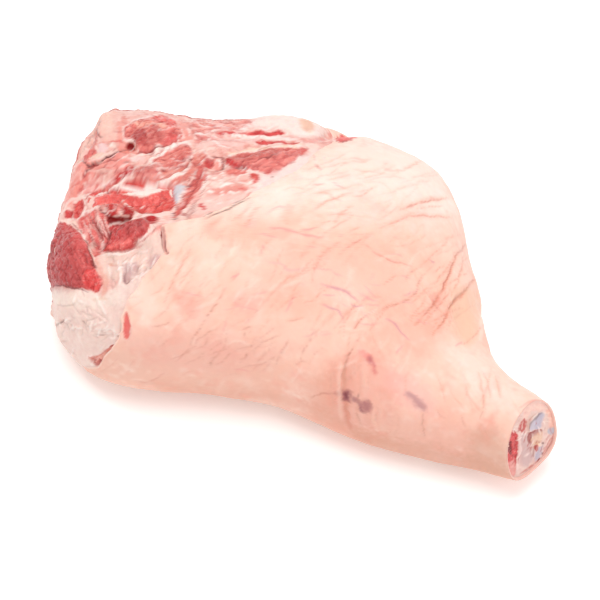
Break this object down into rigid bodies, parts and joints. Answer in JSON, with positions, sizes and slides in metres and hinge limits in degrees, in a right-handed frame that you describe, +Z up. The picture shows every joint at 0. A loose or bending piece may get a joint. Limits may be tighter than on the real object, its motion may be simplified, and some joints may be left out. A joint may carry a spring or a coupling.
{
  "type": "pork leg",
  "caption": "Whole fresh bone-in leg of pork with its rind on, lying on its outer side, the butt cut open to meat, fat and pelvis and the hock sawn off.",
  "frame": {"origin": "middle of the bounding box on the surface that the leg lies on", "axes": "+X along the leg from the butt to the hock, +Z up out of the inner side, +Y towards the back of the thigh, away from the viewer in the picture"},
  "size_m": [0.5271, 0.3401, 0.1389],
  "materials": {
    "rind": "moist satin skin",
    "meat": "moist raw cut meat and fat",
    "bone": "moist sawn bone and cartilage"
  },
  "bodies": {
    "root": {"leg": "rind", "shank_bone": "bone", "heel_bone": "bone", "aitch_bone": "bone"}
  },
  "joints": []
}
